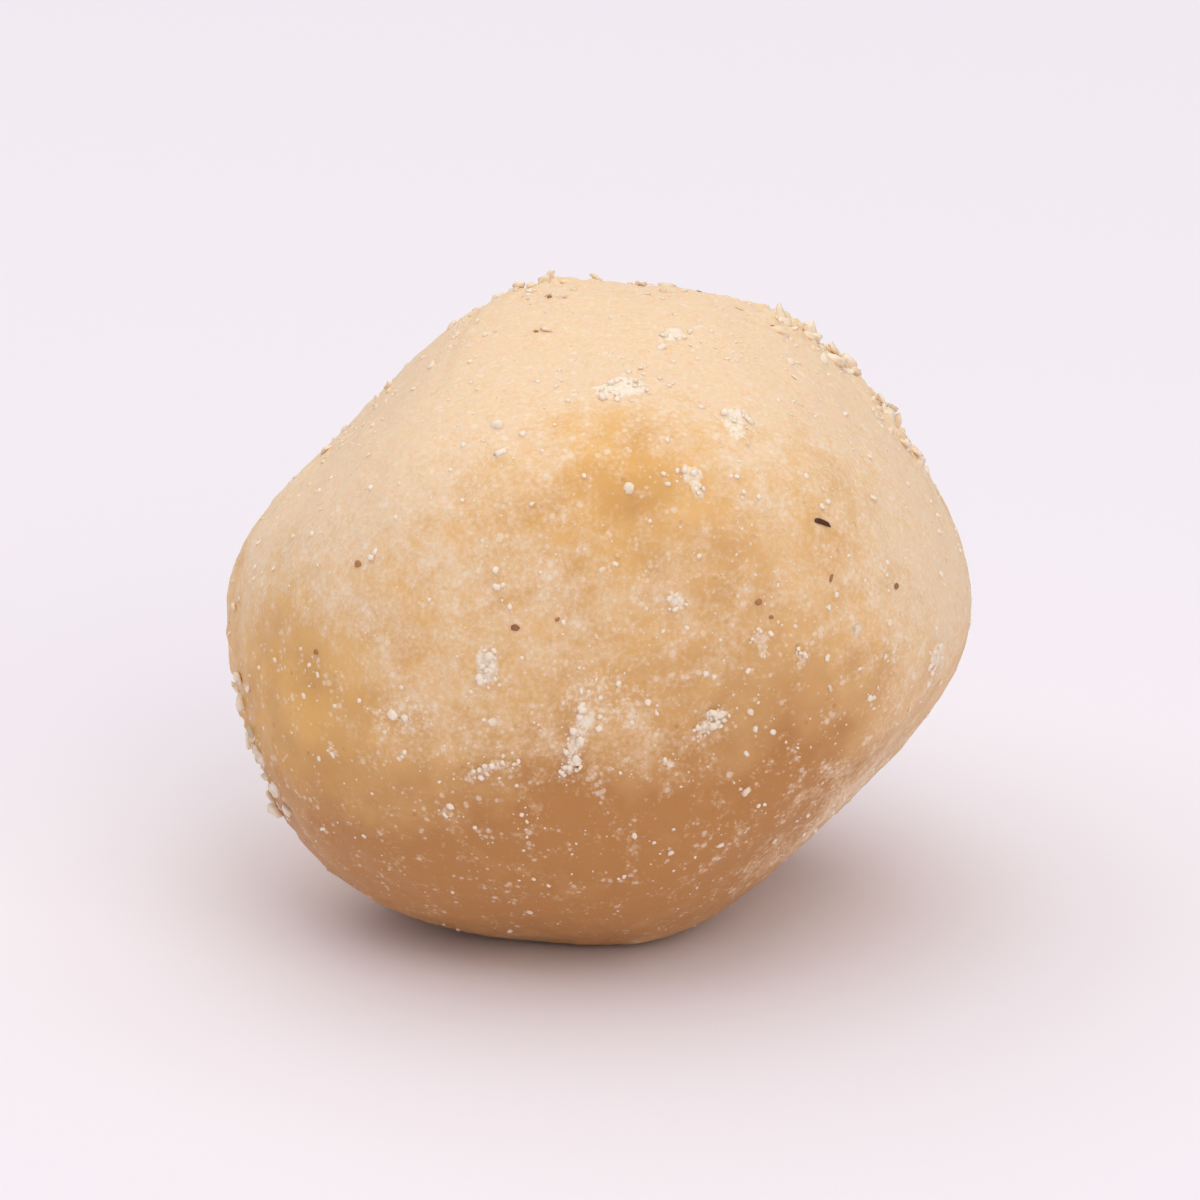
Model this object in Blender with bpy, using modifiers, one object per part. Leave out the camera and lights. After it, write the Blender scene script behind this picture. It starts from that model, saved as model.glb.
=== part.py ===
"""One shelled macadamia kernel, standing on its own small flat spot.

Units are metres and +Z is up. The origin is under the middle of the kernel, on the surface that it rests on.
-Y is the kernel's front, +X its right.
"""

import math

import bmesh
import bpy
from mathutils import Vector

MM = 0.001

# Driving sizes. The body is an egg: its upper half is taller than its lower half.
HALF_WIDTH = 10.5 * MM  # along X
HALF_DEPTH = 9.9 * MM  # along Y
RISE = 10.3 * MM  # from the widest level up to the crown, before the facets flatten it
DROP = 9.35 * MM  # from the widest level down to the lowest point, before the foot is cut
REST_DROP = 8.9 * MM  # from the widest level down to the flat spot
FACET_SHARPNESS = 9  # higher gives crisper edges between the facets

# The flats that the shell pressed into the kernel: (azimuth, elevation) in degrees, and distance from the middle.
# Azimuth 0 is the front, 90 the right side, 180 the back.
FACETS = {
    "crown": ((10, 80), 8.5 * MM),
    "left_shoulder": ((-100, 45), 8.55 * MM),
    "right_shoulder": ((82, 42), 9.65 * MM),
    "face": ((10, 5), 9.55 * MM),
    "right_underside": ((68, -42), 9.2 * MM),
    "back_right": ((150, 10), 10.2 * MM),
    "back_left": ((-140, -15), 10.3 * MM),
    "back_shoulder": ((180, 50), 9.4 * MM),
}

# Soft rises and dips: (azimuth, elevation) and spread in degrees, and height, which is negative for a dip.
SWELLINGS = {
    "left_heel": ((-60, -38), 26, 0.95 * MM),
    "crown_corner": ((-129, 62), 20, 0.3 * MM),
    "left_corner": ((-90, 10), 16, 0.45 * MM),
    "front_heel": ((20, -64), 24, 0.3 * MM),
    "right_heel": ((45, -55), 24, 0.2 * MM),
    "right_cheek": ((92, -4), 24, 0.3 * MM),
    "left_cheek": ((-42, -4), 26, 0.15 * MM),
    "face_dip": ((24, -8), 15, -0.3 * MM),
    "face_furrow": ((33, -34), 13, -0.25 * MM),
    "germ_collar": ((172, 14), 24, -0.35 * MM),
    "germ_tip": ((172, 14), 8, 1.15 * MM),
}

CAGE_CUTS = 9  # cuts along each edge of the cube that the cage starts as
SMOOTHING_LEVELS = 1
CUTTER_SIDE = 40 * MM

FLESH_COLOUR = (0.80, 0.54, 0.27, 1.0)  # linear, cream to light tan
FLESH_ROUGHNESS = 0.5


def direction(place):
    """The unit vector that points to a place given as (azimuth, elevation) in degrees."""
    azimuth, elevation = (math.radians(angle) for angle in place)
    return Vector(
        (
            math.cos(elevation) * math.sin(azimuth),
            -math.cos(elevation) * math.cos(azimuth),
            math.sin(elevation),
        )
    )


def faceted_radius(ray):
    """Distance from the middle to the egg, flattened softly by each facet, along a unit vector."""
    half_height = RISE if ray.z > 0 else DROP
    egg = Vector((ray.x / HALF_WIDTH, ray.y / HALF_DEPTH, ray.z / half_height)).length
    crowding = egg**FACET_SHARPNESS
    for place, distance in FACETS.values():
        facing = max(0.0, ray.dot(direction(place)))
        crowding += (facing / distance) ** FACET_SHARPNESS
    return crowding ** (-1 / FACET_SHARPNESS)


def swelling(ray):
    """Height of all the soft rises and dips together, along a unit vector."""
    height = 0.0
    for place, spread, peak in SWELLINGS.values():
        away = math.degrees(ray.angle(direction(place)))
        height += peak * math.exp(-((away / spread) ** 2))
    return height


def collection(name):
    made = bpy.data.collections.new(name)
    bpy.context.scene.collection.children.link(made)
    return made


def flesh_material():
    material = bpy.data.materials.new("kernel_flesh")
    material.use_nodes = True
    shader = material.node_tree.nodes["Principled BSDF"]
    shader.inputs["Base Color"].default_value = FLESH_COLOUR
    shader.inputs["Roughness"].default_value = FLESH_ROUGHNESS
    shader.inputs["Metallic"].default_value = 0.0
    return material


def kernel_cage():
    """A finely cut cube whose points are pushed out to the kernel's surface."""
    shape = bmesh.new()
    bmesh.ops.create_cube(shape, size=2)
    bmesh.ops.subdivide_edges(
        shape, edges=shape.edges[:], cuts=CAGE_CUTS, use_grid_fill=True
    )
    for vertex in shape.verts:
        # The tangent spreads the points evenly over the ball, which a plain cube crowds at its corners.
        ray = Vector(math.tan(side * math.pi / 4) for side in vertex.co).normalized()
        vertex.co = ray * (faceted_radius(ray) + swelling(ray))
    mesh = bpy.data.meshes.new("kernel")
    shape.to_mesh(mesh)
    shape.free()
    mesh.shade_smooth()
    return mesh


def make_kernel(parts):
    kernel = bpy.data.objects.new("kernel", kernel_cage())
    kernel.data.materials.append(flesh_material())
    kernel.location.z = REST_DROP
    parts.objects.link(kernel)
    smooth = kernel.modifiers.new("soft_form", "SUBSURF")
    smooth.levels = SMOOTHING_LEVELS
    smooth.render_levels = SMOOTHING_LEVELS
    return kernel


def make_foot_cutter(cutters):
    """A block whose top face is the surface that the kernel rests on."""
    block = bmesh.new()
    bmesh.ops.create_cube(block, size=CUTTER_SIDE)
    mesh = bpy.data.meshes.new("foot_cutter")
    block.to_mesh(mesh)
    block.free()
    cutter = bpy.data.objects.new("foot_cutter", mesh)
    cutter.location.z = -CUTTER_SIDE / 2
    cutter.hide_render = True
    cutter.display_type = "WIRE"
    cutters.objects.link(cutter)
    return cutter


def cut_foot(kernel, cutter):
    cut = kernel.modifiers.new("flat_spot", "BOOLEAN")
    cut.operation = "DIFFERENCE"
    cut.object = cutter


def centre_over_origin(kernel):
    """Slides the kernel sideways until the middle of its box is over the origin."""
    bpy.context.view_layer.update()
    evaluated = kernel.evaluated_get(bpy.context.evaluated_depsgraph_get())
    corners = [evaluated.matrix_world @ Vector(corner) for corner in evaluated.bound_box]
    kernel.location.x -= (min(c.x for c in corners) + max(c.x for c in corners)) / 2
    kernel.location.y -= (min(c.y for c in corners) + max(c.y for c in corners)) / 2


def main():
    for old in list(bpy.data.objects):
        bpy.data.objects.remove(old)
    kernel = make_kernel(collection("macadamia_kernel"))
    cut_foot(kernel, make_foot_cutter(collection("cutters")))
    centre_over_origin(kernel)


main()
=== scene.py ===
import math

import bpy
import numpy as np
from mathutils import Euler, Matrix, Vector


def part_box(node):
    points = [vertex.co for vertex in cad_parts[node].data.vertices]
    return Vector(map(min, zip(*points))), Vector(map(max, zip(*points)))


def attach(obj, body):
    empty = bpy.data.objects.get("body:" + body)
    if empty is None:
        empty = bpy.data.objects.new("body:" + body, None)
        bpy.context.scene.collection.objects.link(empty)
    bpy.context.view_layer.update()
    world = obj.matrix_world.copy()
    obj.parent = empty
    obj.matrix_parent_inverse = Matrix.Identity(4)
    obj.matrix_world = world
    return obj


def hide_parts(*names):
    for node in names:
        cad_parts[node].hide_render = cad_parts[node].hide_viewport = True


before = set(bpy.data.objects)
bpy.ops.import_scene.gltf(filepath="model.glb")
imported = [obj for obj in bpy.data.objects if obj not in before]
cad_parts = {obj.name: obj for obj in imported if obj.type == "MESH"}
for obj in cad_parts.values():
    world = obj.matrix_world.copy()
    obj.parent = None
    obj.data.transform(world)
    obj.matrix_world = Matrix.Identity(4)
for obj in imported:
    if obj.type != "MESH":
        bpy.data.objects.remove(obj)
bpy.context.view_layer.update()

# A whole macadamia kernel out of its shell, dry roasted and salted, lying on its small flat spot.
# Lengths in the dictionaries are millimetres and angles are degrees. A place on the kernel is (azimuth,
# elevation): azimuth 0 is the front (-Y), 90 the right side (+X), 180 the back; elevation 90 is straight up.

mm = 0.001
kernelLow, kernelHigh = (np.array(corner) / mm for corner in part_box("kernel"))

# where each random pattern starts: another number gives another kernel of the same kind
seeds = {
    "pits": 11, "salt": 21, "crumbs": 22, "specks": 23,
    "seam": 31, "seamBreaks": 56, "lumps": 61, "crustLumps": 57, "teeth": 111, "germWrinkles": 121,
    "zoneBend": 41, "dust": 71, "gold": 81, "toast_and_shade": 91, "crust": 101, "clumpBend": 131,
    "saltClusters": 71, "saltGathering": 72, "crumbClusters": 73,
}


def pointing(place):
    # unit vector: sine and cosine of the azimuth level with the floor, sine of the elevation upwards
    azimuth, elevation = np.radians(place)
    level = np.cos(elevation)
    return np.array([level * np.sin(azimuth), -level * np.cos(azimuth), np.sin(elevation)])


def hills(rays, places):
    # sum of bell curves on the ball, each (place, spread, height): the height times e to the minus square of
    # (angle away from the place / spread)
    total = np.zeros(len(rays))
    for place, spread, height in places:
        away = np.degrees(np.arccos(np.clip(rays @ pointing(place), -1, 1)))
        total += height * np.exp(-((away / spread) ** 2))
    return total


def ramp(low, high, values):
    # smooth step from 0 at low to 1 at high: 3t^2 - 2t^3
    t = np.clip((values - low) / (high - low), 0, 1)
    return t * t * (3 - 2 * t)


def cloud(points, size, seed):
    # gradient noise, about -1 to 1: the corners of a lattice with cells of that size hold random slopes, and
    # the heights of the eight slopes round a point are blended along each axis by 6t^5 - 15t^4 + 10t^3
    wrap = 48  # the lattice repeats after this many cells
    gain = 1.5  # brings the blend's peaks to about 1
    draws = np.random.default_rng(seed)
    slopes = draws.normal(size=(wrap, wrap, wrap, 3))
    slopes /= np.linalg.norm(slopes, axis=-1, keepdims=True)
    turn = np.array(Euler(draws.uniform(0, 2 * np.pi, 3)).to_matrix())
    at = points @ turn.T / size
    cell = np.floor(at).astype(int)
    inside = at - cell
    fade = inside**3 * (inside * (inside * 6 - 15) + 10)
    total = np.zeros(len(points))
    for corner in np.ndindex(2, 2, 2):
        corner = np.array(corner)
        slope = slopes[tuple(((cell + corner) % wrap).T)]
        weight = np.where(corner, fade, 1 - fade).prod(axis=1)
        total += weight * ((inside - corner) * slope).sum(axis=1)
    return gain * total


def clouds(points, layers, seed):
    # sum of noises, each (size, height)
    return sum(height * cloud(points, size, seed + i) for i, (size, height) in enumerate(layers))


def wander(vectors, points, layers, seed):
    # the vectors, with a sum of noises of its own added to each of their three parts
    seedGap = 10  # keeps the seeds of the three parts' noises apart
    return np.stack([vectors[:, axis] + clouds(points, layers, seed + seedGap * axis)
                     for axis in range(3)], axis=1)


def nearest(rays, place):
    # number of the point whose ray is closest to a place
    return np.argmax(rays @ pointing(place))


def ballOfGrids(steps):
    # six square grids wrapped on a ball: both parameters of each grid run from -45 to 45 degrees, and their
    # tangents with a third side of 1 give the ray. Shared edges are merged, so the ball is closed
    first, second = np.meshgrid(np.arange(steps + 1), np.arange(steps + 1), indexing="ij")
    lattices, quads = [], []
    for axis in range(3):
        for end in (0, steps):
            lattice = np.empty(first.shape + (3,), int)
            lattice[..., axis] = end
            lattice[..., (axis + 1) % 3] = first
            lattice[..., (axis + 2) % 3] = second
            number = len(lattices) * first.size + np.arange(first.size).reshape(first.shape)
            corners = (number[:-1, :-1], number[1:, :-1], number[1:, 1:], number[:-1, 1:])
            loop = corners if end else corners[::-1]
            lattices.append(lattice.reshape(-1, 3))
            quads.append(np.stack(loop, axis=-1).reshape(-1, 4))
    lattice = np.concatenate(lattices)
    key = lattice @ np.array([(steps + 1) ** 2, steps + 1, 1])
    _, firstUse, merged = np.unique(key, return_index=True, return_inverse=True)
    rays = np.tan((lattice[firstUse] / steps * 2 - 1) * math.pi / 4)
    rays /= np.linalg.norm(rays, axis=1, keepdims=True)
    return rays, merged.reshape(-1)[np.concatenate(quads)]


def meshPiece(name, points, faceSets, smooth=True):
    # points in millimetres; each array in faceSets holds faces with the same number of sides
    mesh = bpy.data.meshes.new(name)
    mesh.vertices.add(len(points))
    mesh.vertices.foreach_set("co", (points * mm).astype(np.float32).ravel())
    corners = np.concatenate([faces.ravel() for faces in faceSets])
    sides = np.concatenate([np.full(len(faces), faces.shape[1]) for faces in faceSets])
    mesh.loops.add(len(corners))
    mesh.loops.foreach_set("vertex_index", corners.astype(np.int32))
    mesh.polygons.add(len(sides))
    mesh.polygons.foreach_set("loop_start", (np.cumsum(sides) - sides).astype(np.int32))
    mesh.update(calc_edges=True)
    mesh.validate()
    if smooth:
        mesh.shade_smooth()
    piece = bpy.data.objects.new(name, mesh)
    bpy.context.scene.collection.objects.link(piece)
    return piece


def giveLayer(piece, name, values):
    # one number for each point, which a material reads by its name
    layer = piece.data.attributes.new(name, "FLOAT", "POINT")
    layer.data.foreach_set("value", values.astype(np.float32))


def tint(code):
    # sRGB hex to linear: c / 12.92 below 0.04045, else ((c + 0.055) / 1.055) ^ 2.4
    parts = [int(code[i:i + 2], 16) / 255 for i in (1, 3, 5)]
    return [c / 12.92 if c <= 0.04045 else ((c + 0.055) / 1.055) ** 2.4 for c in parts] + [1.0]


def newFinish(name):
    finish = bpy.data.materials.new(name)
    finish.use_nodes = True
    return finish, finish.node_tree.nodes["Principled BSDF"]


def feed(finish, node, inputs):
    # each input gets a value or, where it is given another node's output, a link
    for name, value in inputs.items():
        if isinstance(value, bpy.types.NodeSocket):
            finish.node_tree.links.new(value, node.inputs[name])
        else:
            node.inputs[name].default_value = value


def add(finish, kind, output, inputs, **settings):
    # adds a node with its settings and inputs, and returns one of its outputs
    node = finish.node_tree.nodes.new("ShaderNode" + kind)
    for name, value in settings.items():
        setattr(node, name, value)
    feed(finish, node, inputs)
    return node.outputs[output]


kernelShape = {
    "gridSteps": 128,  # squares along each side of the six grids
    "halfWidth": 10.5, "halfDepth": 9.9, "rise": 10.3, "drop": 9.35,  # the egg that everything starts from
    "restDrop": 8.9,  # from the widest level down to the flat spot
    "rimSoftness": 0.10, "rimReach": 0.30,  # rounding where the side meets it, and how far below that reaches
    "sharpness": 9,  # crispness of the edges between facets
    "facets": [  # (place, distance of the flat from the middle)
        ((10, 80), 8.5), ((-100, 45), 8.55), ((82, 42), 9.65), ((10, 5), 9.55),
        ((68, -42), 9.2), ((150, 10), 10.2), ((-140, -15), 10.3), ((180, 50), 9.4),
    ],
    "swellings": [  # (place, spread, height)
        ((-60, -38), 26, 0.95), ((-129, 62), 20, 0.3), ((-90, 10), 16, 0.45), ((20, -64), 24, 0.3),
        ((45, -55), 24, 0.2), ((92, -4), 24, 0.3), ((-42, -4), 26, 0.15), ((24, -8), 15, -0.3),
        ((33, -34), 13, -0.25), ((172, 14), 24, -0.35), ((172, 14), 8, 1.15),
    ],
}

kernelRelief = {
    "lumps": [(5.0, 0.08), (2.3, 0.06), (1.1, 0.035), (0.5, 0.024), (0.27, 0.014)],  # (size, height)
    "pits": {"count": 150, "across": (0.3, 1.0), "depth": (0.01, 0.06)},
    "germTip": (172, 14),
    "germWrinkles": [(0.9, 0.16), (0.45, 0.10)], "germSpread": 13,
    "seam": {
        "tilt": 28, "width": 0.16, "depth": 0.10,
        "wander": 0.3, "wanderSize": 4.0, "breaks": 0.35, "breakSize": 1.5,
        "reach": (-0.45, 0.5),  # cosines of the angle from the germ, where it ends and where it is whole
    },
    "crustHeight": 0.05, "crustUnevenness": 0.6, "crustLumpSize": 0.3,  # the crust is caked salt
    "raggedEdges": [  # (place, spread, strength)
        ((117, 50), 9, 1.6), ((103, 33), 9, 1.5), ((-154, 67), 8, 1.3), ((-74, -18), 15, 1.0),
        ((-97, 30), 18, 0.35), ((150, 45), 20, 0.5), ((-130, 5), 18, 0.4),
    ],
    "ragged": [(0.8, 0.20), (0.42, 0.22)],  # (size, height) of the crumbly teeth there
}

# what the zones start from and the clouds that break them up, each (size, strength)
kernelMix = {
    "bend": [(3.4, 0.09), (1.3, 0.045)],
    "dustLevel": 0.28, "dustRise": 0.18,  # more dust lies on what faces up
    "dustLimits": (0.02, 0.88), "dust": [(2.6, 0.15), (1.2, 0.14), (0.55, 0.12), (0.28, 0.06)],
    "gold": [(2.2, 0.14), (0.8, 0.06)],
    "toast_and_shade": [(2.8, 0.16), (1.1, 0.10), (0.45, 0.06)],
    "crustLimits": (0.25, 0.80), "crust": [(0.6, 0.25), (0.3, 0.22)], "crustReach": (0.05, 0.3),
    "crustBend": [(1.0, 0.26), (0.45, 0.12)],  # how far the clumps' outlines wander
    "clumpFill": 3,  # how fast a clump gains its full thickness, from its edge inwards
}

# where the surface is dusty, golden, or toasted and painted shaded: (place, spread, strength)
kernelZones = {
    "dust": [
        ((25, 88), 40, 0.48), ((-80, 44), 30, 0.62), ((-82, 17), 16, 0.14), ((95, 42), 26, 0.42),
        ((72, 10), 16, 0.50), ((-35, 26), 18, 0.14), ((2, 2), 8, 0.16), ((-31, -2), 8, 0.24),
        ((56, -30), 15, 0.42), ((160, 55), 25, 0.45), ((-150, 10), 22, 0.40), ((125, -15), 20, 0.35),
        ((0, 41), 11, -0.42), ((18, 33), 12, -0.14), ((-57, -6), 13, -0.44), ((-45, -26), 20, -0.42),
        ((-84, -2), 12, -0.20), ((34, -10), 13, -0.28), ((-12, -14), 13, 0.14), ((0, -32), 24, -0.28),
        ((-110, -30), 22, -0.25),
    ],
    "gold": [
        ((1, 40), 12, 0.86), ((16, 34), 12, 0.22), ((-25, 22), 20, 0.40), ((-57, -6), 15, 0.90),
        ((-46, -22), 20, 0.65), ((-100, -22), 24, 0.60), ((170, 0), 30, 0.50), ((110, 5), 14, 0.40),
        ((35, 60), 16, 0.45), ((-85, 8), 14, 0.25), ((14, 10), 18, 0.20),
    ],
    "toast_and_shade": [
        ((2, 38), 12, 0.14), ((30, 12), 20, 0.10), ((20, -2), 18, 0.22), ((38, -20), 20, 0.45),
        # the strong zones at elevations -33 to -40 are painted shade: they darken the kernel's underside to
        # brown in place of the shade beneath it; the other zones are real roasting, and the germ's tip is
        # darker in its own colour
        ((0, -33), 26, 1.25), ((45, -38), 22, 0.95), ((-55, -36), 24, 1.10), ((180, -40), 40, 0.65),
        ((100, -35), 28, 0.60), ((172, 14), 9, 0.8),
    ],
}

# salt that has caked: (place, width, height, tilt, how thickly it lies, grains on it)
saltClumps = [
    ((6, 62), 1.75, 1.00, 8, 1.0, 22), ((35, 47), 0.70, 1.35, -8, 0.9, 10),
    ((-19, 7), 0.75, 1.20, 15, 0.8, 22), ((-5, -6), 0.70, 2.10, -14, 0.8, 44),
    ((20, -3), 1.15, 0.75, 32, 0.8, 26), ((67, -1), 0.75, 1.15, -5, 0.8, 20),
    ((13, 19), 0.35, 0.65, -20, 0.9, 9), ((28, 11), 0.45, 0.70, 0, 0.6, 8),
    ((36, 6), 0.45, 0.45, 0, 0.6, 6), ((-41, 22), 0.40, 0.35, 0, 0.5, 4),
    ((-20, -10), 1.6, 0.50, 14, 0.6, 18), ((29, 8), 0.35, 0.35, 0, 0.6, 4),
    ((20, 38), 0.45, 1.05, 4, 0.8, 7), ((1, 2), 2.6, 1.9, 20, 0.35, 10),
    ((-33, -2), 2.4, 1.3, 10, 0.35, 9), ((-27, -18), 0.5, 0.4, 0, 0.6, 5),
    ((12, -10), 0.5, 0.4, 0, 0.6, 4), ((60, 75), 1.0, 0.7, 20, 0.9, 8),
    ((-46, -10), 0.4, 0.3, 0, 0.6, 4), ((100, -12), 0.8, 0.6, 0, 0.8, 16),
    ((140, 30), 1.0, 0.7, 30, 0.8, 22), ((-120, 20), 0.9, 0.6, -20, 0.8, 18),
    ((-165, -5), 0.7, 1.2, 10, 0.8, 24), ((165, 60), 2.3, 1.5, -20, 0.40, 18),
    ((-95, -12), 1.5, 1.1, 30, 0.35, 12), ((150, -12), 0.6, 0.8, 0, 0.7, 12),
    ((-140, 45), 0.5, 0.7, 40, 0.8, 10),
]


def kernelRadius(rays):
    # smooth minimum of the egg's radius and of each flat's distance / cosine: the sum of their reciprocals to
    # the power of the sharpness, turned back by the inverse power; then the swellings are added
    shape = kernelShape
    tall = np.where(rays[:, 2] > 0, shape["rise"], shape["drop"])
    wide = np.full_like(tall, shape["halfWidth"])
    deep = np.full_like(tall, shape["halfDepth"])
    egg = np.linalg.norm(rays / np.stack([wide, deep, tall], axis=1), axis=1)
    crowding = egg ** shape["sharpness"]
    for place, distance in shape["facets"]:
        crowding += np.maximum(rays @ pointing(place) / distance, 0) ** shape["sharpness"]
    return crowding ** (-1 / shape["sharpness"]) + hills(rays, shape["swellings"])


def seamLine(points, rays):
    # 1 on the hairline where the seed's two halves meet, fading away from the germ: bell curve of the
    # distance to a wandering plane that holds the germ's tip
    seam = kernelRelief["seam"]
    tip = pointing(kernelRelief["germTip"])
    tilt = math.radians(seam["tilt"])
    level = np.cross(tip, [0, 0, 1.0])
    level /= np.linalg.norm(level)
    across = math.cos(tilt) * level + math.sin(tilt) * np.cross(level, tip)
    away = points @ across + seam["wander"] * cloud(points, seam["wanderSize"], seeds["seam"])
    near = ramp(*seam["reach"], rays @ tip)
    broken = 1 + seam["breaks"] * (cloud(points, seam["breakSize"], seeds["seamBreaks"]) - 1)
    return near * np.exp(-((away / seam["width"]) ** 2)) * broken


def pitting(points):
    # shallow dents: for each, its depth times a bell curve of the distance from its middle
    pits = kernelRelief["pits"]
    draws = np.random.default_rng(seeds["pits"])
    chosen = draws.choice(len(points), pits["count"], replace=False)
    across = draws.uniform(*pits["across"], pits["count"])
    depth = draws.uniform(*pits["depth"], pits["count"])
    total = np.zeros(len(points))
    for middle, width, deep in zip(points[chosen], across, depth):
        total += deep * np.exp(-((points - middle) ** 2).sum(axis=1) / (width / 2) ** 2)
    return total


def patch(points, rays, place, width, height, tilt):
    # 1 inside an ellipse on the surface round a place, fading at its edge: e to the minus fourth power of the
    # distance from its middle, counted in its half sizes; tilt turns its width up from level
    ray = pointing(place)
    level = np.cross([0, 0, 1.0], ray)
    level /= np.linalg.norm(level)
    steep = np.cross(ray, level)
    lean = math.radians(tilt)
    gap = points - points[nearest(rays, place)]
    along = gap @ (math.cos(lean) * level + math.sin(lean) * steep)
    over = gap @ (math.cos(lean) * steep - math.sin(lean) * level)
    away = (along / (width / 2)) ** 2 + (over / (height / 2)) ** 2
    nearSide = math.cos(math.radians(60))  # keeps it off the kernel's far side
    return np.where(rays @ ray > nearSide, np.exp(-away**2), 0)


def toning(points, rays):
    # how dusty, golden, and toasted or painted shaded each point is, 0 to 1: its zones and clouds added up.
    # The zones are read along bent rays, so that their edges wander
    mix = kernelMix
    bent = wander(rays, points, mix["bend"], seeds["zoneBend"])
    bent /= np.linalg.norm(bent, axis=1, keepdims=True)
    zone = {name: hills(bent, places) for name, places in kernelZones.items()}
    dust = mix["dustLevel"] + mix["dustRise"] * rays[:, 2] + zone["dust"]
    return {
        "dust": ramp(*mix["dustLimits"], dust + clouds(points, mix["dust"], seeds["dust"])),
        "gold": np.clip(zone["gold"] + clouds(points, mix["gold"], seeds["gold"]), 0, 1),
        "toast_and_shade": np.clip(zone["toast_and_shade"] + clouds(points, mix["toast_and_shade"], seeds["toast_and_shade"]), 0, 1),
    }


def caking(points, wandering, rays):
    # how thickly caked salt lies, 0 to 1: the clumps' ellipses broken up by clouds, times their thickness.
    # The ellipses are read off wandering points, so that they are ragged
    mix = kernelMix
    caked, thickness = np.zeros(len(points)), np.zeros(len(points))
    for place, width, height, tilt, thick, _ in saltClumps:
        inside = patch(wandering, rays, place, width, height, tilt)
        caked = np.maximum(caked, inside)
        thickness = np.maximum(thickness, thick * np.minimum(mix["clumpFill"] * inside, 1))
    crust = ramp(*mix["crustLimits"], caked + clouds(points, mix["crust"], seeds["crust"]))
    return crust * (thickness * ramp(*mix["crustReach"], caked))


def unevenness(points, rays, crust, seam):
    # height over the smooth form: lumps, less the pits and the seam, and then the germ's wrinkles, the caked
    # salt and the crumbly teeth along the ragged edges
    form = kernelRelief
    height = clouds(points, form["lumps"], seeds["lumps"]) - pitting(points) - form["seam"]["depth"] * seam
    germ = hills(rays, [(form["germTip"], form["germSpread"], 1)])
    height += germ * clouds(points, form["germWrinkles"], seeds["germWrinkles"])
    lumpy = 1 + form["crustUnevenness"] * cloud(points, form["crustLumpSize"], seeds["crustLumps"])
    height += form["crustHeight"] * crust * lumpy
    teeth = np.maximum(clouds(points, form["ragged"], seeds["teeth"]), 0)
    return height + teeth * hills(rays, form["raggedEdges"])


def settle(points):
    # the flat spot: heights below it are lifted to it, by the smooth maximum
    # (h + sqrt(h^2 + softness^2)) / 2, and well below it, where that still leaves a trace, to 0
    over = points[:, 2] + kernelShape["restDrop"]
    soft = kernelShape["rimSoftness"]
    lifted = (over + np.sqrt(over**2 + soft**2)) / 2
    points[:, 2] = np.where(over < -kernelShape["rimReach"], 0, lifted)

    # the box of the surface is fitted to the solid's box, which fixes its place and trims its size
    low, high = points.min(axis=0), points.max(axis=0)
    return kernelLow + (points - low) * (kernelHigh - kernelLow) / (high - low)


def makeKernel():
    # the rays of a ball, each as long as the kernel's radius plus its unevenness there
    rays, quads = ballOfGrids(kernelShape["gridSteps"])
    points = rays * kernelRadius(rays)[:, None]
    wandering = wander(points, points, kernelMix["crustBend"], seeds["clumpBend"])
    layers = toning(points, rays)
    layers["crust"] = caking(points, wandering, rays)
    layers["seam"] = seamLine(points, rays)
    height = unevenness(points, rays, layers["crust"], layers["seam"])
    points = settle(points + rays * height[:, None])
    kernel = meshPiece("kernel_flesh", points, [quads])
    for name, values in layers.items():
        giveLayer(kernel, name, values)
    normals = np.empty(len(points) * 3, np.float32)
    kernel.data.vertex_normals.foreach_get("vector", normals)
    surface = {"points": points, "normals": normals.reshape(-1, 3).astype(float), "rays": rays,
               "dust": layers["dust"], "wandering": wandering}
    return kernel, surface


# dry-roasted macadamia flesh: waxy, oily cream-to-gold kernel meat, rubbed smooth in the drum and dulled by
# nut flour and salt dust, so it glows softly inside and has a broad, weak sheen only where it is bare
fleshFinish = {
    # the toast colour is real roasting and also painted shade: the low zones use it to darken the kernel's
    # underside
    "flesh": "#efc386", "gold": "#edb968", "toast_and_shade": "#c2884a", "pore": "#b07a45", "seam": "#a0683a",
    "dust": "#f5d8b4", "crust": "#fff3e3",
    "noises": [  # (size, detail, roughness)
        (1.5, 4.0, 0.5),  # uneven roasting
        (0.55, 3.0, 0.5),  # clots of flour
        (0.14, 3.0, 0.65),  # nut flour, which is nearer 0.03; it is drawn coarser so that it shows
    ],
    "poreSpacing": 0.7, "grainSpacing": 0.24,
    "roastWeight": 0.9, "flourWeight": 1.3, "crustRagged": 1.7,
    "finestClots": 1.5, "finestLess": -0.33, "finestRagged": 0.5,  # reach and raggedness of the finest dots
    "fades": {  # where each colour starts on its pattern, where it is full, and how much it then covers
        "toast_and_shade": {"From Min": 0.42, "From Max": 1.35},
        "pore": {"From Min": 0.14, "From Max": 0.03, "To Max": 0.45},
        "seam": {"To Max": 0.6},
        "film": {"From Min": 1.25, "From Max": 2.05, "To Max": 0.95},
        "pale": {"From Min": 0.46, "From Max": 0.70, "To Max": 0.35},
        "finest": {"From Min": 0.0, "From Max": 0.1, "To Max": 0.38},
        "crust": {"From Min": 1.15, "From Max": 1.9, "To Max": 0.95},
        "roughness": {"From Min": 1.25, "From Max": 1.85, "To Min": 0.42, "To Max": 0.75},  # bare to dusty
    },
    "flourHeight": 0.03, "skinHeight": 0.03, "ior": 1.46,
    "glow": 0.28, "glowDepth": (1.1, 0.55, 0.25),
}


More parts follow.
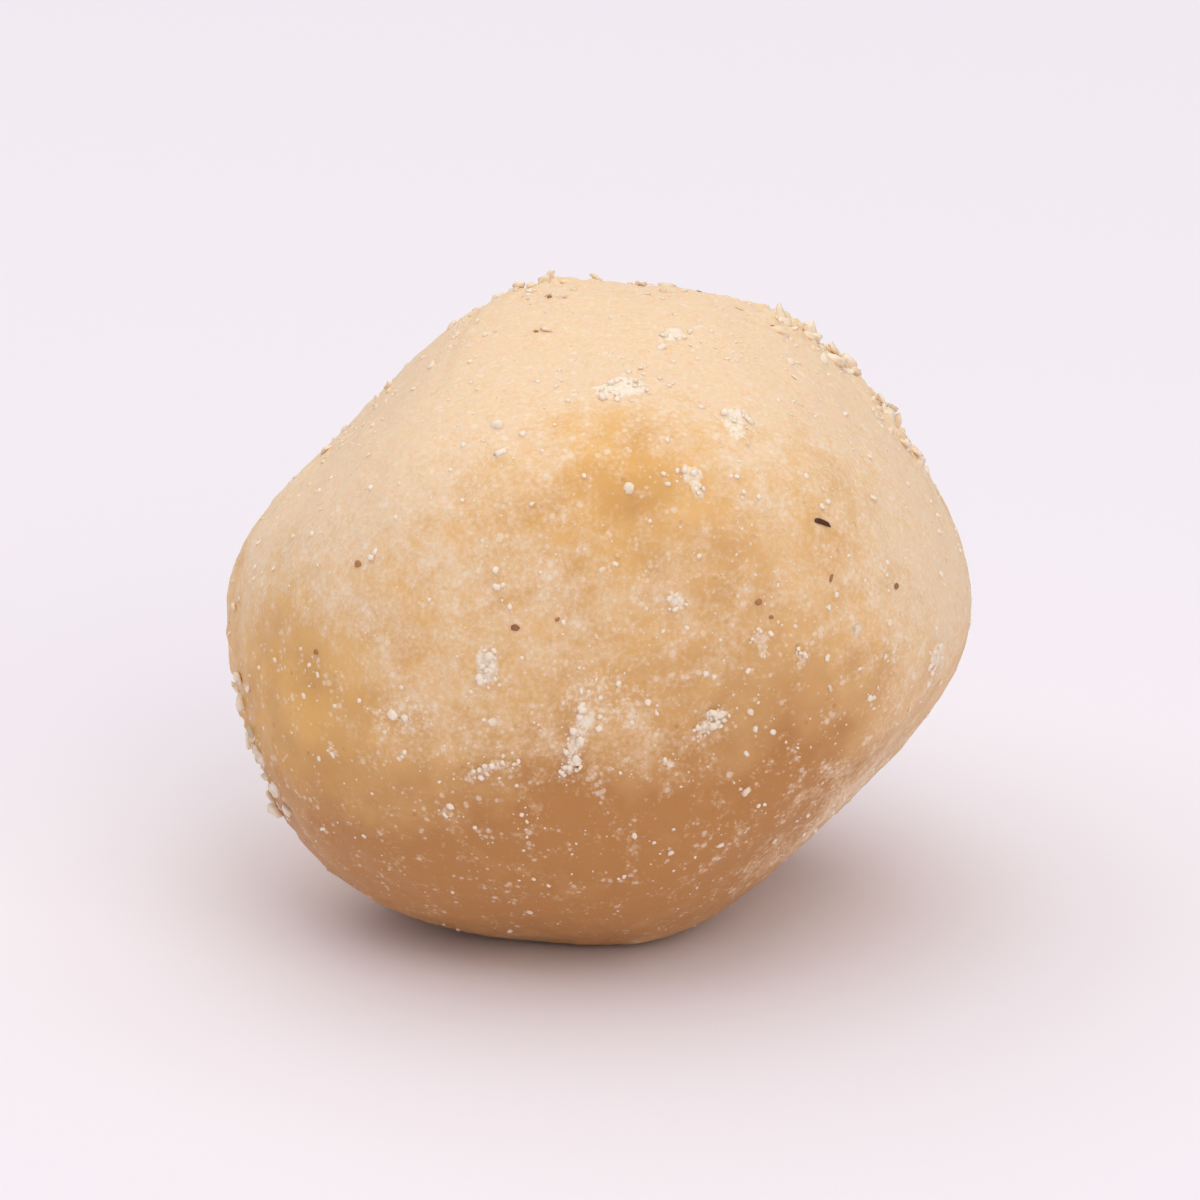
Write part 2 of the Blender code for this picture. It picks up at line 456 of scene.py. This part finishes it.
def fleshMaterial():
    # a Mix node's colours are its inputs 6 and 7 and its output 2
    look = fleshFinish
    fades = look["fades"]
    finish, shader = newFinish("roasted_macadamia_flesh")
    at = add(finish, "TexCoord", "Object", {})
    dust, gold, toast_and_shade, crust, seam = (add(finish, "Attribute", "Fac", {}, attribute_name=name)
                                      for name in ("dust", "gold", "toast_and_shade", "crust", "seam"))
    roast, clots, flour = (add(finish, "TexNoise", "Fac", {"Vector": at, "Scale": 1 / (size * mm),
                                                           "Detail": detail, "Roughness": roughness})
                           for size, detail, roughness in look["noises"])
    pores, grains = (add(finish, "TexVoronoi", "Distance", {"Vector": at, "Scale": 1 / (spacing * mm)})
                     for spacing in (look["poreSpacing"], look["grainSpacing"]))

    # how much of the bare flesh is toasted or painted shaded, a pore or the seam
    toast_and_shade_sum = add(finish, "Math", 0, {0: roast, 1: look["roastWeight"], 2: toast_and_shade},
                   operation="MULTIPLY_ADD")
    browned_and_shaded = add(finish, "MapRange", 0, {"Value": toast_and_shade_sum, **fades["toast_and_shade"]})
    pore = add(finish, "MapRange", 0, {"Value": pores, **fades["pore"]})
    cleft = add(finish, "MapRange", 0, {"Value": seam, **fades["seam"]})

    # how much a film of flour and dust hides it, more where it clots, and how pale that film is
    clotted = add(finish, "Math", 0, {0: clots, 1: dust}, operation="ADD")
    floury = add(finish, "Math", 0, {0: flour, 1: look["flourWeight"], 2: clotted},
                 operation="MULTIPLY_ADD")
    film = add(finish, "MapRange", 0, {"Value": floury, **fades["film"]})
    pale = add(finish, "MapRange", 0, {"Value": flour, **fades["pale"]})
    powdery = add(finish, "Mix", 2, {0: pale, 6: tint(look["dust"]), 7: tint(look["crust"])},
                  data_type="RGBA")

    # the finest salt is dots round the cells' middles, larger in the clots; caked salt lies over all
    reach = add(finish, "Math", 0, {0: clots, 1: look["finestClots"], 2: look["finestLess"]},
                operation="MULTIPLY_ADD")
    ragged = add(finish, "Math", 0, {0: flour, 1: look["finestRagged"], 2: grains},
                 operation="MULTIPLY_ADD")
    inside = add(finish, "Math", 0, {0: reach, 1: ragged}, operation="SUBTRACT")
    finest = add(finish, "MapRange", 0, {"Value": inside, **fades["finest"]})
    caked = add(finish, "Math", 0, {0: flour, 1: look["crustRagged"], 2: crust}, operation="MULTIPLY_ADD")
    cake = add(finish, "MapRange", 0, {"Value": caked, **fades["crust"]})

    colour = tint(look["flesh"])
    for share, over in ((gold, tint(look["gold"])), (browned_and_shaded, tint(look["toast_and_shade"])),
                        (pore, tint(look["pore"])), (cleft, tint(look["seam"])), (film, powdery),
                        (finest, tint(look["crust"])), (cake, tint(look["crust"]))):
        colour = add(finish, "Mix", 2, {0: share, 6: colour, 7: over}, data_type="RGBA")

    roughness = add(finish, "MapRange", 0, {"Value": floury, **fades["roughness"]})
    skin = add(finish, "Bump", 0, {"Height": clots, "Distance": look["skinHeight"] * mm})
    powder = add(finish, "Bump", 0, {"Height": flour, "Distance": look["flourHeight"] * mm,
                                     "Strength": film, "Normal": skin})
    feed(finish, shader, {"Base Color": colour, "Roughness": roughness, "Normal": powder,
                          "IOR": look["ior"], "Subsurface Weight": look["glow"],
                          "Subsurface Radius": look["glowDepth"], "Subsurface Scale": 1 * mm})
    return finish


def pebble(around, rings, boxiness):
    # superellipsoid of radius 1: cosines and sines of the two angles keep their sign and are raised to the
    # power boxiness, so 1 is a ball and small values are a rounded box; fans of triangles close the poles
    turn = np.arange(around) * 2 * np.pi / around
    rise = (np.arange(1, rings + 1) / (rings + 1) - 0.5) * np.pi
    waves = (np.cos(turn), np.sin(turn), np.cos(rise), np.sin(rise))
    cosTurn, sinTurn, cosRise, sinRise = (np.sign(wave) * np.abs(wave) ** boxiness for wave in waves)
    body = np.stack([np.outer(cosRise, cosTurn), np.outer(cosRise, sinTurn),
                     np.outer(sinRise, np.ones(around))], axis=-1).reshape(-1, 3)
    points = np.concatenate([body, [[0, 0, -1.0], [0, 0, 1.0]]])
    number = np.arange(rings * around).reshape(rings, around)
    ahead = np.roll(number, -1, axis=1)
    quads = np.stack([number[:-1], ahead[:-1], ahead[1:], number[1:]], axis=-1).reshape(-1, 4)
    south = np.stack([ahead[0], number[0], np.full(around, rings * around)], axis=-1)
    north = np.stack([number[-1], ahead[-1], np.full(around, rings * around + 1)], axis=-1)
    return points, quads, np.concatenate([south, north])


def facesOfCopies(bit, count):
    # the pebble's faces once for each copy, counted on from copy to copy
    shape, quads, tris = bit
    offset = (np.arange(count) * len(shape))[:, None, None]
    return [(tris + offset).reshape(-1, 3), (quads + offset).reshape(-1, 4)]


def scatter(name, look, draws, places, normals, sizes, smooth):
    # every bit is the pebble times its own three sizes, its points pushed in or out at random, turned by its
    # own frame (its normal tipped at random, and two sides at a random turn about it) and moved to its place
    bit = pebble(*look["pebble"])
    count = len(places)
    sides = draws.uniform(*look["stretch"], size=(count, 1, 3)) * [1, 1, look["flatness"]]
    bumpy = 1 + look["bumpiness"] * draws.normal(size=(count, len(bit[0]), 1))
    local = bit[0] * bumpy * sides * sizes[:, None, None] / 2
    up = normals + look["tumble"] * draws.normal(size=normals.shape)
    up /= np.linalg.norm(up, axis=1, keepdims=True)
    side = np.cross(up, draws.normal(size=normals.shape))
    side /= np.linalg.norm(side, axis=1, keepdims=True)
    middles = places + normals * (look["lift"] * sizes)[:, None]
    points = middles[:, None, :] + local @ np.stack([side, np.cross(up, side), up], axis=1)
    return meshPiece(name, points.reshape(-1, 3), facesOfCopies(bit, count), smooth)


def sample(surface, draws, count, density, jitter=0.09):
    # picks places on the kernel in proportion to the density, off the mesh's points by a sideways step of up
    # to the jitter
    chosen = draws.choice(len(density), count, p=density / density.sum())
    normals = surface["normals"][chosen]
    aside = draws.uniform(-jitter, jitter, size=(count, 3))
    aside -= normals * (aside * normals).sum(axis=1, keepdims=True)
    return surface["points"][chosen] + aside, normals, chosen


def clustered(surface, look, density, seed):
    # the density times the square of a noise, which gathers it into clusters, and none of it near the floor
    clusters = look["evenness"] + look["clustering"] * cloud(surface["points"], look["clusterSize"], seed)
    density = density * np.maximum(clusters, look["sparsest"]) ** 2
    density[surface["points"][:, 2] < look["lowest"]] = 0
    return density


def mixedSizes(look, draws, count):
    # smallest + (largest - smallest) * random ^ rarity
    small, large = look["size"]
    return small + (large - small) * draws.random(count) ** look["rarity"]


saltGrains = {
    "count": 1350, "size": (0.05, 0.18), "rarity": 3,  # the higher the rarity, the fewer large ones
    "pebble": (6, 2, 0.6),  # points around, rings, boxiness
    "stretch": (0.7, 1.3), "flatness": 0.40, "bumpiness": 0.10, "tumble": 0.22, "lift": 0.08,
    "spread": [  # (place, spread, strength)
        ((-8, -4), 30, 1.0), ((32, 6), 26, 0.9), ((-45, -18), 22, 0.6), ((60, 0), 24, 0.7),
        ((10, 60), 30, 0.35), ((170, 20), 60, 0.5), ((-110, 0), 40, 0.4),
    ],
    "everywhere": 0.14, "onBare": 0.5, "onDust": 0.9,  # dusty stretches hold more of them
    "evenness": 0.7, "clustering": 2, "clusterSize": 1.3,
    "sparsest": 0.05, "lowest": 0.25,  # least that the clusters' noise counts, and the lowest height
}

saltHeap = {
    "size": (0.05, 0.24), "rarity": 1.8, "pebble": (6, 2, 0.6),
    "stretch": (0.7, 1.35), "flatness": 0.40, "bumpiness": 0.12, "tumble": 0.25, "lift": 0.04,
    "depth": 0.05, "gathering": 1.4, "gatherSize": 0.5,
}


def makeSalt(surface):
    draws = np.random.default_rng(seeds["salt"])
    look = saltGrains
    density = look["everywhere"] + hills(surface["rays"], look["spread"])
    density *= look["onBare"] + look["onDust"] * surface["dust"]
    density = clustered(surface, look, density, seeds["saltClusters"])
    places, normals, _ = sample(surface, draws, look["count"], density)
    sizes = mixedSizes(look, draws, len(places))
    loose = scatter("salt_grains", look, draws, places, normals, sizes, False)

    look = saltHeap
    spots, ups = [], []
    gathered = look["gathering"] * cloud(surface["points"], look["gatherSize"], seeds["saltGathering"])
    for place, width, height, tilt, _, grains in saltClumps:
        inside = patch(surface["wandering"], surface["rays"], place, width, height, tilt)
        near, up, _ = sample(surface, draws, grains, inside * np.maximum(1 + gathered, 0))
        spots.append(near + up * draws.uniform(0, look["depth"], size=(grains, 1)))
        ups.append(up)
    places, normals = np.concatenate(spots), np.concatenate(ups)
    sizes = mixedSizes(look, draws, len(places))
    heaped = scatter("salt_clumps", look, draws, places, normals, sizes, False)
    return loose, heaped


nutCrumbs = {
    "count": 420, "size": (0.07, 0.38), "rarity": 3.0, "pebble": (8, 4, 0.8),
    "stretch": (0.6, 1.3), "flatness": 0.50, "bumpiness": 0.19, "tumble": 0.40, "lift": 0.02,
    "edges": [  # where they cling: (place, spread, strength)
        ((117, 50), 12, 0.8), ((106, 38), 12, 0.9), ((103, 29), 10, 0.7), ((-154, 67), 13, 0.7),
        ((-75, -8), 9, 0.4), ((-73, -18), 10, 0.5), ((-73, -29), 10, 0.5), ((-100, 40), 16, 0.3),
        ((175, 35), 16, 0.25), ((120, -20), 16, 0.3),
    ],
    "chips": [  # (place, size) of the large crumbs that stand up one by one
        ((118, 52), 0.58), ((112, 47), 0.42), ((111, 43), 0.52), ((106, 39), 0.36), ((104, 33), 0.50),
        ((103, 28), 0.44), ((98, 24), 0.32), ((-154, 67), 0.55), ((-147, 62), 0.36), ((160, 68), 0.32),
        ((-74, -7), 0.36), ((-75, -18), 0.42), ((-72, -28), 0.48), ((-79, 3), 0.28),
    ],
    "chipLift": 0.22,
    "everywhere": 0.03, "evenness": 1, "clustering": 1.5, "clusterSize": 1.3, "sparsest": 0.02, "lowest": 0.5,
    "coarser": 0.6,  # crumbs on the edges are larger by up to this share
}


def makeCrumbs(surface):
    draws = np.random.default_rng(seeds["crumbs"])
    look = nutCrumbs
    density = look["everywhere"] + hills(surface["rays"], look["edges"])
    density = clustered(surface, look, density, seeds["crumbClusters"])
    places, normals, chosen = sample(surface, draws, look["count"], density)
    sizes = mixedSizes(look, draws, len(places))
    sizes *= 1 + look["coarser"] * hills(surface["rays"][chosen], look["edges"])

    # the standing chips join the rest
    standing = [nearest(surface["rays"], place) for place, _ in look["chips"]]
    chipSizes = np.array([size for _, size in look["chips"]])
    chipUps = surface["normals"][standing]
    chipPlaces = surface["points"][standing] + chipUps * (look["chipLift"] * chipSizes)[:, None]
    places, normals = np.concatenate([places, chipPlaces]), np.concatenate([normals, chipUps])
    sizes = np.concatenate([sizes, chipSizes])
    return scatter("nut_crumbs", look, draws, places, normals, sizes, True)


skinSpecks = {
    "pebble": (10, 5, 0.9), "thickness": 0.06, "bumpiness": 0.14, "lift": 0.008,
    "flecks": [  # (place, length, width, tilt, how dark)
        ((44, 27), 0.52, 0.17, -28, 1.0), ((-15, 14), 0.24, 0.18, 0, 0.45),
        ((104, 57), 0.26, 0.16, 0, 0.45), ((-130, 77), 0.20, 0.14, 0, 0.35),
        ((-44, 20), 0.24, 0.18, 0, 0.15), ((57, 13), 0.22, 0.15, 10, 0.4),
        ((28, 17), 0.22, 0.16, 0, 0.2), ((-61, 76), 0.16, 0.12, 0, 0.2), ((-49, 5), 0.17, 0.13, 0, 0.25),
        ((42, 18), 0.22, 0.10, 60, 0.35), ((30, 14), 0.13, 0.10, 0, 0.2),
        ((-8, 16), 0.14, 0.10, 30, 0.2), ((120, 10), 0.40, 0.16, 20, 0.9),
        ((165, 45), 0.26, 0.18, 0, 0.5), ((-140, 30), 0.45, 0.15, 50, 0.95),
        ((-95, -10), 0.22, 0.16, 0, 0.4), ((-170, -20), 0.30, 0.18, 0, 0.7),
        ((140, 62), 0.20, 0.12, 0, 0.3),
    ],
}


def makeSpecks(surface):
    # flattened pebbles, each with its own length and width, laid level on the surface and then tilted
    draws = np.random.default_rng(seeds["specks"])
    look = skinSpecks
    bit = pebble(*look["pebble"])
    points, darkness = [], []
    for place, length, width, tilt, dark in look["flecks"]:
        spot = nearest(surface["rays"], place)
        up = surface["normals"][spot]
        level = np.cross([0, 0, 1.0], up)
        level /= np.linalg.norm(level)
        lean = math.radians(tilt)
        side = math.cos(lean) * level + math.sin(lean) * np.cross(up, level)
        bumpy = 1 + look["bumpiness"] * draws.normal(size=(len(bit[0]), 1))
        local = bit[0] * bumpy * np.array([length, width, look["thickness"]]) / 2
        middle = surface["points"][spot] + up * look["lift"]
        points.append(middle + local @ [side, np.cross(up, side), up])
        darkness.append(np.full(len(bit[0]), dark))
    specks = meshPiece("skin_specks", np.concatenate(points), facesOfCopies(bit, len(points)))
    giveLayer(specks, "darkness", np.concatenate(darkness))
    return specks


# table salt: clear halite crushed until it is frosted, with the nut's oil on it, so it is bright but warm
saltFinish = {
    "colour": "#fff1dd", "roughness": (0.48, 0.72), "frostSize": 0.2, "ior": 1.54, "gloss": 0.3,
}

# crumbs of the same nut: drier and paler than the kernel, and matt
crumbFinish = {
    "light": "#fdf1e0", "dark": "#f8e0be", "patchSize": 0.5, "patchDetail": 3.0, "patchEdge": (0.4, 0.6),
    "roughness": 0.7, "ior": 1.45,
}

# seed coat: dry papery brown skin, matt, thin flecks of it tan and thick ones dark
speckFinish = {
    "light": "#c28a55", "dark": "#4f260f", "patchSize": 0.15, "patchDetail": 3.0, "patchiness": 0.25,
    "roughness": 0.6, "ior": 1.45,
}


def saltMaterial():
    look = saltFinish
    finish, shader = newFinish("crushed_halite")
    at = add(finish, "TexCoord", "Object", {})
    frosting = add(finish, "TexNoise", "Fac", {"Vector": at, "Scale": 1 / (look["frostSize"] * mm)})
    smooth, rough = look["roughness"]
    frost = add(finish, "MapRange", 0, {"Value": frosting, "To Min": smooth, "To Max": rough})
    feed(finish, shader, {"Base Color": tint(look["colour"]), "Roughness": frost, "IOR": look["ior"],
                          "Specular IOR Level": look["gloss"]})
    return finish


def crumbMaterial():
    look = crumbFinish
    finish, shader = newFinish("dry_macadamia_crumb")
    at = add(finish, "TexCoord", "Object", {})
    patches = add(finish, "TexNoise", "Fac", {"Vector": at, "Scale": 1 / (look["patchSize"] * mm),
                                              "Detail": look["patchDetail"]})
    low, high = look["patchEdge"]
    share = add(finish, "MapRange", 0, {"Value": patches, "From Min": low, "From Max": high})
    colour = add(finish, "Mix", 2, {0: share, 6: tint(look["light"]), 7: tint(look["dark"])},
                 data_type="RGBA")
    feed(finish, shader, {"Base Color": colour, "Roughness": look["roughness"], "IOR": look["ior"]})
    return finish


def speckMaterial():
    look = speckFinish
    finish, shader = newFinish("brown_seed_coat")
    at = add(finish, "TexCoord", "Object", {})
    dark = add(finish, "Attribute", "Fac", {}, attribute_name="darkness")
    patches = add(finish, "TexNoise", "Fac", {"Vector": at, "Scale": 1 / (look["patchSize"] * mm),
                                              "Detail": look["patchDetail"]})
    uneven = add(finish, "MapRange", 0, {"Value": patches, "To Min": -look["patchiness"],
                                         "To Max": look["patchiness"]})
    share = add(finish, "Math", 0, {0: dark, 1: uneven}, operation="ADD", use_clamp=True)
    colour = add(finish, "Mix", 2, {0: share, 6: tint(look["light"]), 7: tint(look["dark"])},
                 data_type="RGBA")
    feed(finish, shader, {"Base Color": colour, "Roughness": look["roughness"], "IOR": look["ior"]})
    return finish


kernel, surface = makeKernel()
kernel.data.materials.append(fleshMaterial())
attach(kernel, "root")
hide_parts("kernel")
print("kernel:", len(kernel.data.polygons), "faces")

for salt in makeSalt(surface):
    salt.data.materials.append(saltMaterial())
    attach(salt, "root")
    print(salt.name + ":", len(salt.data.polygons), "faces")

crumbs = makeCrumbs(surface)
crumbs.data.materials.append(crumbMaterial())
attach(crumbs, "root")
print("crumbs:", len(crumbs.data.polygons), "faces")

specks = makeSpecks(surface)
specks.data.materials.append(speckMaterial())
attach(specks, "root")
print("specks:", len(specks.data.polygons), "faces")

stageLook = {
    "floor": "#f5f3fc", "floorRoughness": 0.75, "floorGloss": 0.2,
    "floorSide": 8.0,  # metres, as all the lengths here
    "sky": "#ebe7f1", "skyStrength": 0.41,
    "keyPlace": (-0.08, 0.05, 0.50), "keySide": 0.85, "keyPower": 2.55, "keyColour": "#fffaf2",
    "fillPlace": (0.27, -0.42, 0.42), "fillSide": 0.50, "fillPower": 1.25, "fillColour": "#fff8ec",
    "lens": 0.2, "nearClip": 0.01, "elevation": 20.0,
    "kernelShare": 0.62,  # share of the picture's width that the kernel takes
}


def areaLight(name, place, side, power, colour, target):
    lamp = bpy.data.lights.new(name, "AREA")
    lamp.shape = "SQUARE"
    lamp.size = side
    lamp.energy = power
    lamp.color = tint(colour)[:3]
    holder = bpy.data.objects.new(name, lamp)
    holder.location = place
    holder.rotation_euler = (target - Vector(place)).to_track_quat("-Z", "Y").to_euler()
    bpy.context.scene.collection.objects.link(holder)


def makeFloor():
    bpy.ops.mesh.primitive_plane_add(size=stageLook["floorSide"])
    floor = bpy.context.object
    floor.name = "floor"
    finish, shader = newFinish("pale_matt_card")
    feed(finish, shader, {"Base Color": tint(stageLook["floor"]), "Roughness": stageLook["floorRoughness"],
                          "Specular IOR Level": stageLook["floorGloss"]})
    floor.data.materials.append(finish)


def makeLight(target):
    world = bpy.data.worlds.new("soft_white_room")
    world.use_nodes = True
    sky = world.node_tree.nodes["Background"]
    sky.inputs["Color"].default_value = tint(stageLook["sky"])
    sky.inputs["Strength"].default_value = stageLook["skyStrength"]
    bpy.context.scene.world = world
    for name in ("key", "fill"):
        areaLight(name + "_softbox", stageLook[name + "Place"], stageLook[name + "Side"],
                  stageLook[name + "Power"], stageLook[name + "Colour"], target)


def makeCamera(target, width):
    eye = bpy.data.cameras.new("camera")
    eye.lens = stageLook["lens"] / mm
    eye.clip_start = stageLook["nearClip"]
    distance = width / stageLook["kernelShare"] * eye.lens / eye.sensor_width
    holder = bpy.data.objects.new("camera", eye)
    holder.location = target + Vector(pointing((0, stageLook["elevation"]))) * distance
    holder.rotation_euler = (target - holder.location).to_track_quat("-Z", "Y").to_euler()
    bpy.context.scene.collection.objects.link(holder)
    bpy.context.scene.camera = holder


middle = Vector((kernelLow + kernelHigh) / 2 * mm)
makeFloor()
makeLight(middle)
makeCamera(middle, (kernelHigh[0] - kernelLow[0]) * mm)
bpy.context.scene.view_settings.view_transform = "Standard"
print("stage: floor, two softboxes and the camera")
